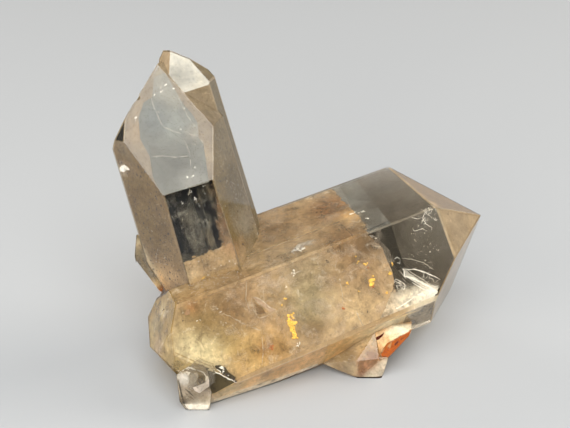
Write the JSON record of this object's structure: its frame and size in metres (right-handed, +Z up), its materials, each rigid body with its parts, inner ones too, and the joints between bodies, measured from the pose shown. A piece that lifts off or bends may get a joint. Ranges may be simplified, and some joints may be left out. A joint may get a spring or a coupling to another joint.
{
  "type": "clear quartz crystal cluster",
  "caption": "Clear quartz cluster: a thick pointed crystal lying down with two parallel crystals standing on its broken end, stained pale brown inside.",
  "frame": {"origin": "on the ground, under the middle of the cluster's bounding box", "axes": "+Z up, +X towards the side that the lying crystal points to, -Y towards the viewer facing its long front face"},
  "size_m": [0.0736, 0.0494, 0.0563],
  "materials": {
    "quartz": "clear and glossy, with frosted faces and pale brown iron stain inside"
  },
  "bodies": {
    "root": {"quartz_cluster": "quartz"}
  },
  "joints": []
}
